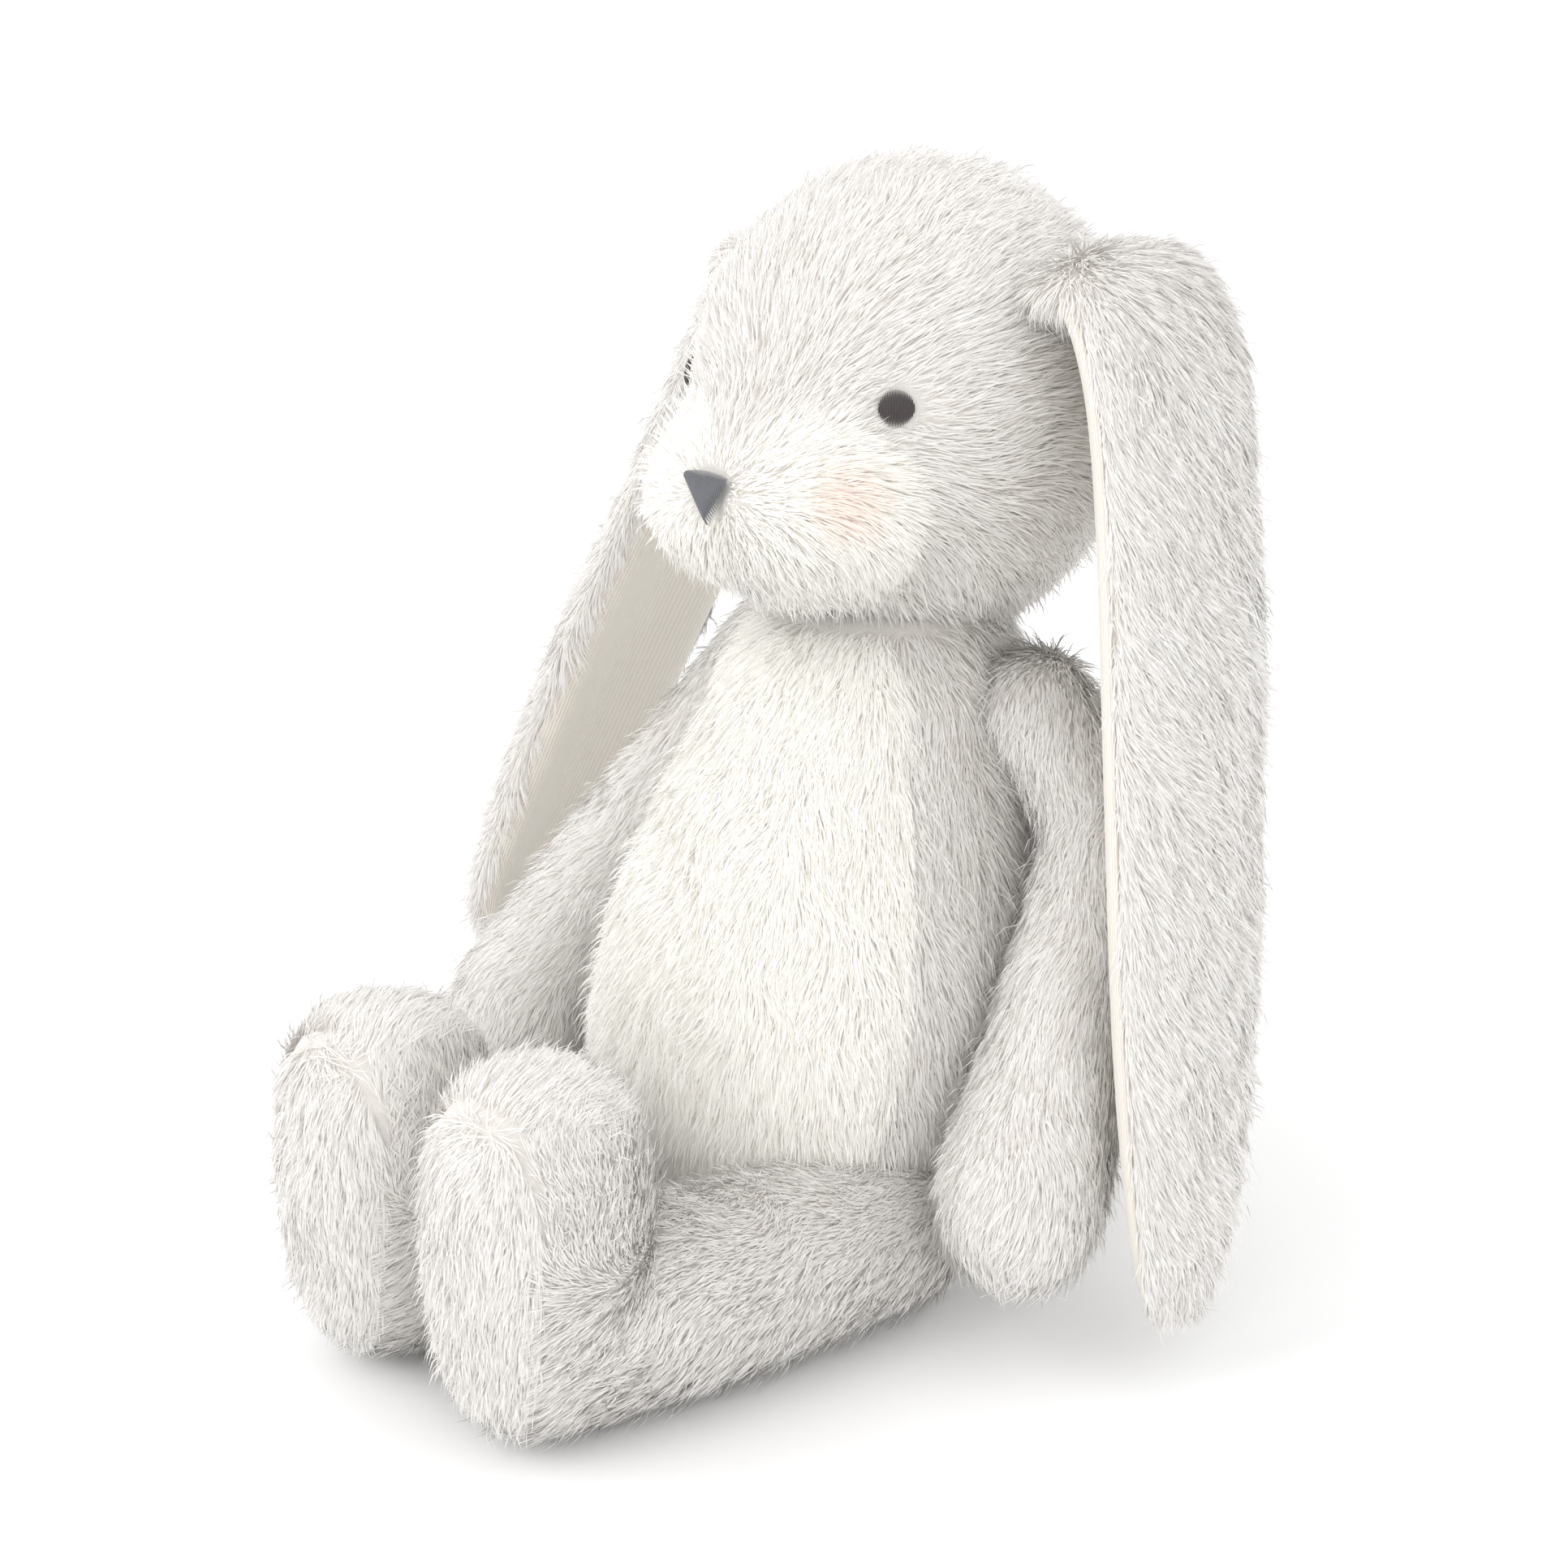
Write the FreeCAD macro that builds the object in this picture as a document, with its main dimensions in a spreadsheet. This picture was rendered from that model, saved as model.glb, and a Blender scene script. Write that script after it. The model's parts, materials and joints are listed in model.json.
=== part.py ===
"""Seated plush rabbit with floppy ears, as a parametric document.

The frame: +Z is up, the rabbit faces -Y and its left side is +X.  The origin is the middle of the
flat seat panel that the toy sits on.  All sizes are in millimetres.  Each sewn cover is a shell,
its filling is a solid inside it, and the limbs, the head, the ears and the tail each turn where
they are sewn on.
"""
import FreeCAD, Part
import math
import os
import Sketcher
from FreeCAD import Placement, Rotation, Vector

DRIVING_SIZES = {
    "cover_wall": 4,
    "sewing_gap": 0.6,
    "seat_wall": 4,
    "torso_height": 152,
    "belly_radius": 58.5,
    "belly_seam_forward": 26.5,
    "belly_seam_height": 62,
    "belly_seam_lean": 16,
    "pouch_back": 17,
    "pouch_height": 19,
    "pouch_half_width": 26,
    "pouch_half_depth": 17,
    "pouch_half_height": 12,
    "pouch_wall": 1.5,
    "neck_back": 24,
    "neck_height": 155,
    "neck_radius": 17,
    "head_back": 35,
    "head_height": 219,
    "head_half_width": 53.5,
    "head_half_depth": 60,
    "head_half_height": 60.5,
    "muzzle_forward": 6,
    "muzzle_height": 202,
    "muzzle_half_width": 44,
    "muzzle_half_depth": 35,
    "muzzle_half_height": 29,
    "patch_half_width": 47,
    "patch_forward": 24,
    "patch_height": 198,
    "eye_radius": 4.2,
    "eye_half_thickness": 1.5,
    "eye_side": 37.5,
    "eye_height": 228.5,
    "nose_width": 15,
    "nose_drop": 13,
    "nose_depth": 6,
    "nose_height": 211,
    "nose_proud": 1.5,
    "nose_corner_radius": 2,
    "ear_root_side": 46,
    "ear_root_back": 44,
    "ear_root_height": 248,
    "ear_root_radius": 9.5,
    "ear_root_half_length": 25,
    "ear_half_width": 26.5,
    "ear_half_thickness": 10,
    "shoulder_side": 44,
    "shoulder_back": 33,
    "shoulder_height": 147,
    "shoulder_radius": 17,
    "armpit_radius": 9,
    "elbow_radius": 15.5,
    "forearm_radius": 16,
    "hand_radius": 19,
    "hand_beads_half_width": 12,
    "hand_beads_half_height": 14,
    "limb_wall": 3,
    "hip_side": 43,
    "hip_forward": 20,
    "hip_height": 23,
    "hip_radius": 21.5,
    "heel_height": 26,
    "heel_radius": 24.5,
    "foot_side": 28,
    "foot_forward": 119,
    "foot_height": 48,
    "foot_half_width": 27,
    "foot_half_depth": 27,
    "foot_half_height": 46.5,
    "foot_beads_height": 26,
    "foot_beads_half_width": 17,
    "foot_beads_half_height": 18,
    "sole_depth": 11,
    "leg_lift": 25,
    "tail_radius": 19,
    "tail_height": 25,
    "tail_back": 68,
    "tail_root_back": 50,
    "tail_tilt": 15,
    "label_side": 24,
    "label_back": 46,
    "label_foot_height": 72,
    "label_turn": 25,
    "label_length": 24,
    "label_height": 14,
    "label_thickness": 0.8,
}

# Points that the middle of each hanging ear passes, from its root to its tip, as side, back, height.
EAR_ROUTES = {
    "left": [
        (58, 45, 250), (72, 44, 237), (83, 39, 200), (97, 27, 145),
        (110, 14, 85), (117, 8, 38), (118, 6, 19),
    ],
    "right": [
        (57, 49, 247), (70, 50, 230), (86, 43, 186), (104, 31, 141),
        (116, 14, 95), (121, 0, 66), (121, -3, 56),
    ],
}
# Width and thickness of the ear at those points, as shares of the largest.
EAR_SHARES = [
    (0.82, 0.70), (0.95, 0.90), (1.0, 1.0), (1.0, 1.0),
    (0.88, 0.95), (0.58, 0.75), (0.25, 0.35),
]

# How much of the ear's width and thickness the let-in lining has.
LINING_WIDTH_SHARE = 0.8
LINING_DEPTH_SHARE = 0.75

# Elbow and middle of the hand of each arm, as side, back, height.
ARM_ROUTES = {
    "left": [(66, 31.5, 120), (82.5, -11.5, 40.5)],
    "right": [(66.8, 30, 120), (82.5, -25, 45)],
}

# Middle and radius of the torso at rising levels, as shares of its height and of the belly's radius.
TORSO_LEVELS = [
    (0, 0, 0.53), (0.06, 0, 0.78), (0.18, -1, 0.95), (0.40, 0, 1.0),
    (0.64, 7, 0.92), (0.84, 15, 0.78), (1, 22, 0.60),
]

SIDES = {"left": 1, "right": -1}
UP = Vector(0, 0, 1)
BACK = Vector(0, 1, 0)
RIGHT_HAND_X = Vector(1, 0, 0)
BACK_TURN = 90

doc = FreeCAD.newDocument("plush_rabbit")
sheet = doc.addObject("Spreadsheet::Sheet", "sizes")
for row, (alias, number) in enumerate(DRIVING_SIZES.items(), start=1):
    sheet.set(f"A{row}", alias)
    sheet.set(f"B{row}", str(number))
    sheet.setAlias(f"B{row}", alias)
doc.recompute()

nodes = []


def number(expression):
    """The value in millimetres of an expression on the sheet's cells."""
    value = sheet.evalExpression(str(expression))
    return float(getattr(value, "Value", value))


def cell(alias):
    """How another object's expression names one of the sheet's cells."""
    return f"sizes.{alias}"


def bind(item, **expressions):
    """Bind properties of an object to expressions; a double underscore stands for a dot."""
    for name, expression in expressions.items():
        item.setExpression(name.replace("__", "."), str(expression))
    return item


def place(item, centre, rotation=None):
    """Put an object's own origin at three expressions, turned by a rotation."""
    item.Placement = Placement(Vector(0, 0, 0), rotation or Rotation())
    names = ("Placement__Base__x", "Placement__Base__y", "Placement__Base__z")
    return bind(item, **dict(zip(names, centre)))


def ellipsoid(name, centre, radii, rotation=None):
    """An ellipsoid whose radii are given along its own X, Y and Z."""
    solid = doc.addObject("Part::Ellipsoid", name)
    bind(solid, Radius1=radii[2], Radius2=radii[0], Radius3=radii[1])
    return place(solid, centre, rotation)


def sphere(name, centre, radius):
    """A sphere about three expressions, turned so that the seam of its surface is at the back."""
    solid = doc.addObject("Part::Sphere", name)
    bind(solid, Radius=radius)
    return place(solid, centre, Rotation(UP, BACK_TURN))


def box(name, corner, lengths, rotation=None):
    """A box from its lowest corner."""
    solid = doc.addObject("Part::Box", name)
    bind(solid, Length=lengths[0], Width=lengths[1], Height=lengths[2])
    return place(solid, corner, rotation)


def fuse(name, solids):
    """The sum of several solids."""
    whole = doc.addObject("Part::MultiFuse", name)
    whole.Shapes = solids
    return whole


def cut(name, base, *tools):
    """A solid with others taken out of it."""
    tool = tools[0] if len(tools) == 1 else fuse(name + "_tool", list(tools))
    rest = doc.addObject("Part::Cut", name)
    rest.Base = base
    rest.Tool = tool
    return rest


def common(name, base, tool):
    """What two solids share."""
    shared = doc.addObject("Part::Common", name)
    shared.Base = base
    shared.Tool = tool
    return shared


def sub_part(item):
    """Note an object as one of the toy's pieces."""
    nodes.append(item)
    return item


def edge_between(start, end, arc):
    """A straight edge, or the short arc about a centre, between two points of a profile."""
    if arc is None:
        return Part.LineSegment(start, end)
    centre = Vector(number(arc[0]), number(arc[1]), 0)
    angles = [math.atan2(point.y - centre.y, point.x - centre.x) for point in (start, end)]
    if (angles[1] - angles[0]) % (2 * math.pi) > math.pi:
        angles.reverse()
    return Part.ArcOfCircle(Part.Circle(centre, UP, number(arc[2])), *angles)


def end_index(sketch, edge, point):
    """Which end of a sketch's edge, 1 or 2, lies at a point."""
    return 1 if sketch.Geometry[edge].StartPoint.distanceToPoint(point) < 1e-6 else 2


def revolved(name, corners, arcs, angle=360, first_angle=0):
    """A body turned about the vertical axis of its own frame.

    corners are pairs of expressions, distance from the axis and height, and arcs gives the centre
    and radius of each edge that isn't straight, by the number of the corner where it starts.
    """
    body = doc.addObject("PartDesign::Body", name)
    sketch = body.newObject("Sketcher::SketchObject", name + "_profile")
    plane = [item for item in body.Origin.OriginFeatures if item.Role == "XZ_Plane"][0]
    sketch.AttachmentSupport = [(plane, "")]
    sketch.MapMode = "FlatFace"
    points = [Vector(number(across), number(height), 0) for across, height in corners]
    count = len(points)
    for index in range(count):
        following = (index + 1) % count
        sketch.addGeometry(edge_between(points[index], points[following], arcs.get(index)), False)
    for index in range(count):
        following = (index + 1) % count
        point = points[following]
        ends = (index, end_index(sketch, index, point), following, end_index(sketch, following, point))
        sketch.addConstraint(Sketcher.Constraint("Coincident", *ends))
    for index, (across, height) in enumerate(corners):
        end = end_index(sketch, index, points[index])
        distances = (("DistanceX", across, points[index].x), ("DistanceY", height, points[index].y))
        for kind, expression, value in distances:
            added = sketch.addConstraint(Sketcher.Constraint(kind, -1, 1, index, end, value))
            sketch.setExpression(f"Constraints[{added}]", str(expression))
    for index, arc in arcs.items():
        added = sketch.addConstraint(Sketcher.Constraint("Radius", index, number(arc[2])))
        sketch.setExpression(f"Constraints[{added}]", str(arc[2]))
    turn = body.newObject("PartDesign::Revolution", name + "_turn")
    turn.Profile = sketch
    turn.ReferenceAxis = (sketch, ["V_Axis"])
    bind(turn, Angle=angle)
    body.Tip = turn
    if first_angle:
        body.Placement = Placement(Vector(0, 0, 0), Rotation(UP, first_angle))
    return body


def capsule(name, centre, radii, length, rotation):
    """A round-ended rod with a radius at each end, from a centre along its own Z, turned."""
    near, far = radii
    corners = [("0", f"-({near})"), (near, "0"), (far, length), ("0", f"{length} + {far}")]
    arcs = {0: ("0", "0", near), 2: ("0", length, far)}
    return place(revolved(name, corners, arcs), centre, rotation)


def lofted(name, sections):
    """A smooth solid through ellipses, each given as centre, long way, travel and two radii."""
    outlines = []
    for index, (centre, long_way, travel, radii) in enumerate(sections):
        outline = doc.addObject("Part::Ellipse", f"{name}_section_{index + 1}")
        bind(outline, MajorRadius=radii[0], MinorRadius=radii[1])
        outline.Placement = Placement(centre, Rotation(long_way, travel.cross(long_way), travel, "ZXY"))
        outlines.append(outline)
    loft = doc.addObject("Part::Loft", name)
    loft.Sections = outlines
    loft.Solid = True
    loft.Ruled = False
    return loft


def travels(points):
    """The direction of travel at each point of a route, from its neighbours."""
    last = len(points) - 1
    return [(points[min(i + 1, last)] - points[max(i - 1, 0)]).normalize() for i in range(last + 1)]


def torso_form(name, inset):
    """The torso's pear shape, inset by an expression: circles whose middles lean back as they rise."""
    sections = []
    for height_share, back, radius_share in TORSO_LEVELS:
        centre = Vector(0, back, height_share * number(cell("torso_height")))
        radius = f"{radius_share} * {cell('belly_radius')} - {inset}"
        sections.append((centre, BACK, UP, (radius, f"0.999 * ({radius})")))
    return lofted(name, sections)


def belly_region():
    """The space in front of the torso's side seams, which lean back with the torso."""
    lean = Rotation(RIGHT_HAND_X, -number(cell("belly_seam_lean")))
    seam = Vector(0, -number(cell("belly_seam_forward")), number(cell("belly_seam_height")))
    half_width, depth, below, length = 80, 80, 90, 260
    corner = seam + lean.multVec(Vector(-half_width, -depth, -below))
    return box("belly_region", tuple(corner), (2 * half_width, depth, length), lean)


def build_torso(whole, hollows):
    """The torso: two side panels, the seat, the filling and the pouch of beads that weighs it."""
    inside = torso_form("torso_inside", cell("cover_wall"))
    reach = cell("belly_radius")
    lengths = (f"2 * {reach}", f"2 * {reach}", cell("seat_wall"))
    slab = box("seat_slab", (f"-{reach}", f"-{reach}", "0"), lengths)
    region = belly_region()
    shell = cut("torso_shell", whole, inside, slab, *hollows)
    sub_part(cut("torso_back_cover", shell, region))
    sub_part(common("belly_panel", shell, region))
    seat_blank = common("seat_blank", whole, slab)
    sub_part(cut("seat_panel", seat_blank, *hollows))
    centre = ("0", cell("pouch_back"), cell("pouch_height"))
    radii = [cell("pouch_half_width"), cell("pouch_half_depth"), cell("pouch_half_height")]
    pouch = ellipsoid("pouch_outside", centre, radii)
    beads = sub_part(ellipsoid("seat_beads", centre, [f"{r} - {cell('pouch_wall')}" for r in radii]))
    sub_part(cut("seat_bead_pouch", pouch, beads))
    sub_part(cut("torso_stuffing", inside, pouch, slab, *hollows))


def head_form(name, inset):
    """The head's round skull and its muzzle, inset by an expression."""
    skull = [cell("head_half_width"), cell("head_half_depth"), cell("head_half_height")]
    muzzle = [cell("muzzle_half_width"), cell("muzzle_half_depth"), cell("muzzle_half_height")]
    skull_at = ("0", cell("head_back"), cell("head_height"))
    muzzle_at = ("0", f"-{cell('muzzle_forward')}", cell("muzzle_height"))
    round_head = ellipsoid(name + "_skull", skull_at, [f"{r} - {inset}" for r in skull])
    round_muzzle = ellipsoid(name + "_muzzle", muzzle_at, [f"{r} - {inset}" for r in muzzle])
    return fuse(name, [round_head, round_muzzle])


def build_head(neck_hollow, ear_hollows):
    """The head: two cover panels, the filling, the embroidered eyes and the embroidered nose."""
    outside = head_form("head_outside", "0")
    inside = head_form("head_inside", cell("cover_wall"))
    eyes = []
    for side, sign in SIDES.items():
        across = sign * number(cell("eye_side")) / number(cell("head_half_width"))
        rise = (number(cell("eye_height")) - number(cell("head_height"))) / number(cell("head_half_height"))
        ahead = -math.sqrt(1 - across ** 2 - rise ** 2)
        depth = f"{cell('head_back')} + {ahead} * {cell('head_half_depth')}"
        outwards = Vector(
            across / number(cell("head_half_width")),
            ahead / number(cell("head_half_depth")),
            rise / number(cell("head_half_height")),
        )
        radii = [cell("eye_radius"), cell("eye_radius"), cell("eye_half_thickness")]
        at = (f"{sign} * {cell('eye_side')}", depth, cell("eye_height"))
        eyes.append(sub_part(ellipsoid(f"eye_{side}", at, radii, Rotation(UP, outwards))))
    nose = sub_part(nose_pad())
    shell = cut("head_shell", outside, inside, neck_hollow, *ear_hollows, *eyes, nose)
    patch_at = ("0", f"-{cell('patch_forward')}", cell("patch_height"))
    patch_radii = [cell("patch_half_width"), cell("muzzle_half_depth"), cell("muzzle_half_height")]
    patch = ellipsoid("muzzle_patch_region", patch_at, patch_radii)
    sub_part(cut("head_cover", shell, patch))
    sub_part(common("muzzle_panel", shell, patch))
    sub_part(cut("head_stuffing", inside, neck_hollow, *ear_hollows, *eyes, nose))


def nose_pad():
    """The embroidered nose: a downward triangle with round corners, padded forwards."""
    body = doc.addObject("PartDesign::Body", "nose")
    sketch = body.newObject("Sketcher::SketchObject", "nose_outline")
    plane = [item for item in body.Origin.OriginFeatures if item.Role == "XZ_Plane"][0]
    sketch.AttachmentSupport = [(plane, "")]
    sketch.MapMode = "FlatFace"
    half, drop = number(cell("nose_width")) / 2, number(cell("nose_drop"))
    corners = [Vector(-half, 0, 0), Vector(half, 0, 0), Vector(0, -drop, 0)]
    for index in range(3):
        sketch.addGeometry(Part.LineSegment(corners[index], corners[(index + 1) % 3]), False)
    for index in range(3):
        sketch.addConstraint(Sketcher.Constraint("Coincident", index, 2, (index + 1) % 3, 1))
    sketch.addConstraint(Sketcher.Constraint("Horizontal", 0))
    sketch.addConstraint(Sketcher.Constraint("DistanceY", -1, 1, 0, 1, 0))
    for expression, edge, kind in (
        (f"-{cell('nose_width')} / 2", 0, "DistanceX"),
        (f"{cell('nose_width')} / 2", 1, "DistanceX"),
        ("0", 2, "DistanceX"),
        (f"-{cell('nose_drop')}", 2, "DistanceY"),
    ):
        value = number(expression)
        added = sketch.addConstraint(Sketcher.Constraint(kind, -1, 1, edge, 1, value))
        sketch.setExpression(f"Constraints[{added}]", expression)
    pad = body.newObject("PartDesign::Pad", "nose_pad")
    pad.Profile = sketch
    bind(pad, Length=cell("nose_depth"))
    doc.recompute()
    rounding = body.newObject("PartDesign::Fillet", "nose_rounding")
    upright = [f"Edge{i + 1}" for i, edge in enumerate(pad.Shape.Edges) if abs(edge.tangentAt(0).y) > 0.9]
    rounding.Base = (pad, upright)
    bind(rounding, Radius=cell("nose_corner_radius"))
    body.Tip = rounding
    muzzle_front = f"-{cell('muzzle_forward')} - {cell('muzzle_half_depth')}"
    front = f"{muzzle_front} + {cell('nose_depth')} - {cell('nose_proud')}"
    return place(body, ("0", front, cell("nose_height")))


def ear_root(name, sign, outset):
    """The rolled root that an ear turns on: a round-ended rod that lies fore and aft."""
    radius, half = cell("ear_root_radius"), cell("ear_root_half_length")
    front = f"{cell('ear_root_back')} - {half} + {radius}"
    at = (f"{sign} * {cell('ear_root_side')}", front, cell("ear_root_height"))
    radii = (f"{radius} + {outset}", f"{radius} + {outset}")
    return capsule(name, at, radii, f"2 * {half} - 2 * {radius}", Rotation(UP, BACK))


def build_ear(side, sign):
    """One ear: a fur back and a lining let into the side that faces the body, on a round root."""
    points = [Vector(sign * across, back, height) for across, back, height in EAR_ROUTES[side]]
    root = ear_root(f"ear_{side}_root", sign, "0")
    whole_sections, lining_sections = [], []
    for point, travel, (wide, thick) in zip(points, travels(points), EAR_SHARES):
        long_way = (BACK - travel * BACK.dot(travel)).normalize()
        inwards = travel.cross(long_way) * -sign
        width, depth = f"{wide} * {cell('ear_half_width')}", f"{thick} * {cell('ear_half_thickness')}"
        whole_sections.append((point, long_way, travel, (width, depth)))
        shift = inwards * (LINING_DEPTH_SHARE * thick * number(cell("ear_half_thickness")))
        lining = (f"{LINING_WIDTH_SHARE} * {width}", f"{LINING_DEPTH_SHARE} * {depth}")
        lining_sections.append((point + shift, long_way, travel, lining))
    whole = lofted(f"ear_{side}_whole", whole_sections)
    channel = lofted(f"ear_{side}_channel", lining_sections[1:])
    back = cut(f"ear_{side}_blade", whole, channel)
    sub_part(fuse(f"ear_{side}_back", [root, back]))
    sub_part(common(f"ear_{side}_lining", whole, channel))


def arm_form(name, side, sign, inset):
    """One arm, inset by an expression: a round shoulder, a bent sleeve and a long round hand."""
    names = ("shoulder_side", "shoulder_back", "shoulder_height")
    shoulder = Vector(sign * number(cell(names[0])), number(cell(names[1])), number(cell(names[2])))
    elbow, hand = [Vector(sign * across, back, height) for across, back, height in ARM_ROUTES[side]]
    shoulder_at = (f"{sign} * {cell(names[0])}", cell(names[1]), cell(names[2]))
    ball = sphere(name + "_shoulder", shoulder_at, f"{cell('shoulder_radius')} - {inset}")
    upper_radii = [f"{cell(radius)} - {inset}" for radius in ("armpit_radius", "elbow_radius")]
    upper_run = elbow - shoulder
    upper = capsule(name + "_upper", shoulder_at, upper_radii, upper_run.Length, Rotation(UP, upper_run))
    lower_radii = [f"{cell(radius)} - {inset}" for radius in ("forearm_radius", "hand_radius")]
    lower_run = hand - elbow
    elbow_at = tuple(str(value) for value in elbow)
    lower = capsule(name + "_lower", elbow_at, lower_radii, lower_run.Length, Rotation(UP, lower_run))
    return fuse(name, [ball, upper, lower]), hand


def build_arm(side, sign):
    """One arm: its cover, its filling and the beads that weigh the hand."""
    outside, hand = arm_form(f"arm_{side}_outside", side, sign, "0")
    inside, _ = arm_form(f"arm_{side}_inside", side, sign, cell("limb_wall"))
    sub_part(cut(f"arm_{side}_cover", outside, inside))
    radii = [cell(f"hand_beads_half_{way}") for way in ("width", "width", "height")]
    beads = sub_part(ellipsoid(f"arm_{side}_beads", tuple(hand), radii))
    sub_part(cut(f"arm_{side}_stuffing", inside, beads))


def leg_direction(sign):
    """The run from the middle of a leg's hip to the middle of its heel."""
    inwards = number(cell("foot_side")) - number(cell("hip_side"))
    forwards = number(cell("hip_forward")) - number(cell("foot_forward"))
    return Vector(sign * inwards, forwards, number(cell("heel_height")) - number(cell("hip_height")))


def leg_form(name, sign, inset):
    """One leg, inset by an expression: a round-ended thigh and an upright foot."""
    run = leg_direction(sign)
    hip = (f"{sign} * {cell('hip_side')}", f"-{cell('hip_forward')}", cell("hip_height"))
    radii = (f"{cell('hip_radius')} - {inset}", f"{cell('heel_radius')} - {inset}")
    thigh = capsule(name + "_thigh", hip, radii, run.Length, Rotation(UP, run))
    foot_at = (f"{sign} * {cell('foot_side')}", f"-{cell('foot_forward')}", cell("foot_height"))
    radii = [cell("foot_half_width"), cell("foot_half_depth"), cell("foot_half_height")]
    foot = ellipsoid(name + "_foot", foot_at, [f"{r} - {inset}" for r in radii])
    return fuse(name, [thigh, foot])


def build_leg(side, sign):
    """One leg: its cover, the sole panel, the filling and the beads in the heel."""
    outside = leg_form(f"leg_{side}_outside", sign, "0")
    inside = leg_form(f"leg_{side}_inside", sign, cell("limb_wall"))
    shell = cut(f"leg_{side}_shell", outside, inside)
    front = f"-{cell('foot_forward')} - {cell('foot_half_depth')}"
    corner = (f"{sign} * {cell('foot_side')} - {cell('foot_half_width')}", front, "0")
    lengths = (f"2 * {cell('foot_half_width')}", cell("sole_depth"), f"{cell('foot_height')} * 2")
    block = box(f"leg_{side}_sole_region", corner, lengths)
    sub_part(cut(f"leg_{side}_cover", shell, block))
    sub_part(common(f"leg_{side}_sole", shell, block))
    at = (f"{sign} * {cell('foot_side')}", f"-{cell('foot_forward')}", cell("foot_beads_height"))
    radii = [cell(f"foot_beads_half_{way}") for way in ("width", "width", "height")]
    beads = sub_part(ellipsoid(f"leg_{side}_beads", at, radii))
    sub_part(cut(f"leg_{side}_stuffing", inside, beads))


def leg_hollows(side, sign):
    """The space that a leg takes up in the torso, from lying flat to lifted all the way."""
    hip = (f"{sign} * {cell('hip_side')}", f"-{cell('hip_forward')}", cell("hip_height"))
    radii = [f"{cell(radius)} + {cell('sewing_gap')}" for radius in ("hip_radius", "heel_radius")]
    length = leg_direction(sign).Length
    steps = 3
    hollows = []
    for step in range(steps + 1):
        lift = number(cell("leg_lift")) * step / steps
        rotation = Rotation(RIGHT_HAND_X, -lift).multiply(Rotation(UP, leg_direction(sign)))
        hollows.append(capsule(f"leg_{side}_hollow_{step + 1}", hip, radii, length, rotation))
    return hollows


def build_tail():
    """The round tail: its cover and its filling."""
    at = ("0", cell("tail_back"), cell("tail_height"))
    outside = sphere("tail_outside", at, cell("tail_radius"))
    filling = sub_part(sphere("tail_stuffing", at, f"{cell('tail_radius')} - {cell('cover_wall')}"))
    sub_part(cut("tail_cover", outside, filling))


def tail_hollows():
    """The space that the tail takes up in the torso as it tips up and down."""
    reach = number(cell("tail_back")) - number(cell("tail_root_back"))
    radius = f"{cell('tail_radius')} + {cell('sewing_gap')}"
    hollows = []
    for step in (-1, 0, 1):
        tilt = math.radians(step * number(cell("tail_tilt")))
        back = f"{cell('tail_root_back')} + {reach * math.cos(tilt)}"
        height = f"{cell('tail_height')} + {reach * math.sin(tilt)}"
        hollows.append(sphere(f"tail_hollow_{step + 2}", ("0", back, height), radius))
    return hollows


def build_label(torso):
    """The blank care label, a folded tape that stands out of the seam at the back of the waist."""
    lengths = (cell("label_thickness"), cell("label_length"), cell("label_height"))
    turned = Rotation(UP, -number(cell("label_turn")))
    corner = (cell("label_side"), cell("label_back"), cell("label_foot_height"))
    tape = box("label_tape", corner, lengths, turned)
    sub_part(cut("care_label", tape, torso))


def build():
    """Make every sub-part of the toy."""
    neck_at = ("0", cell("neck_back"), cell("neck_height"))
    sub_part(sphere("neck_stuffing", neck_at, cell("neck_radius")))
    neck_hollow = sphere("neck_hollow", neck_at, f"{cell('neck_radius')} + {cell('sewing_gap')}")
    hollows = [neck_hollow] + tail_hollows()
    ear_hollows = []
    for side, sign in SIDES.items():
        at = (f"{sign} * {cell('shoulder_side')}", cell("shoulder_back"), cell("shoulder_height"))
        radius = f"{cell('shoulder_radius')} + {cell('sewing_gap')}"
        hollows.append(sphere(f"shoulder_{side}_hollow", at, radius))
        hollows += leg_hollows(side, sign)
        ear_hollows.append(ear_root(f"ear_{side}_hollow", sign, cell("sewing_gap")))
    whole = torso_form("torso_whole", "0")
    build_torso(whole, hollows)
    build_head(neck_hollow, ear_hollows)
    build_label(whole)
    build_tail()
    for side, sign in SIDES.items():
        build_ear(side, sign)
        build_arm(side, sign)
        build_leg(side, sign)


def check_and_write():
    """Stop on any failed object, then write one file for each sub-part."""
    doc.recompute()
    for item in doc.Objects:
        if "Invalid" in item.State or "Error" in item.State:
            raise RuntimeError(f"{item.Name} failed to compute: {item.State}")
    os.makedirs("parts", exist_ok=True)
    for item in nodes:
        shape = item.Shape
        if shape.isNull() or not shape.isValid() or not shape.Solids:
            raise RuntimeError(f"{item.Label} has no valid solid")
    for item in nodes:
        item.Shape.exportStep(f"parts/{item.Label}.step")
        volume = item.Shape.Volume / 1000
        print(f"{item.Label}: {len(item.Shape.Solids)} solids, {volume:.1f} cubic centimetres")


build()
check_and_write()
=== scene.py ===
"""Seated plush rabbit: fur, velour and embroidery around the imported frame.

Skins are surfaces worked out as whole arrays, on a grid of two parameters.  The fur is a mesh of
narrow ribbons, three triangles each, rooted all over a skin, combed along a direction field and
gathered into small locks.
"""
import json
import math

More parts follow.
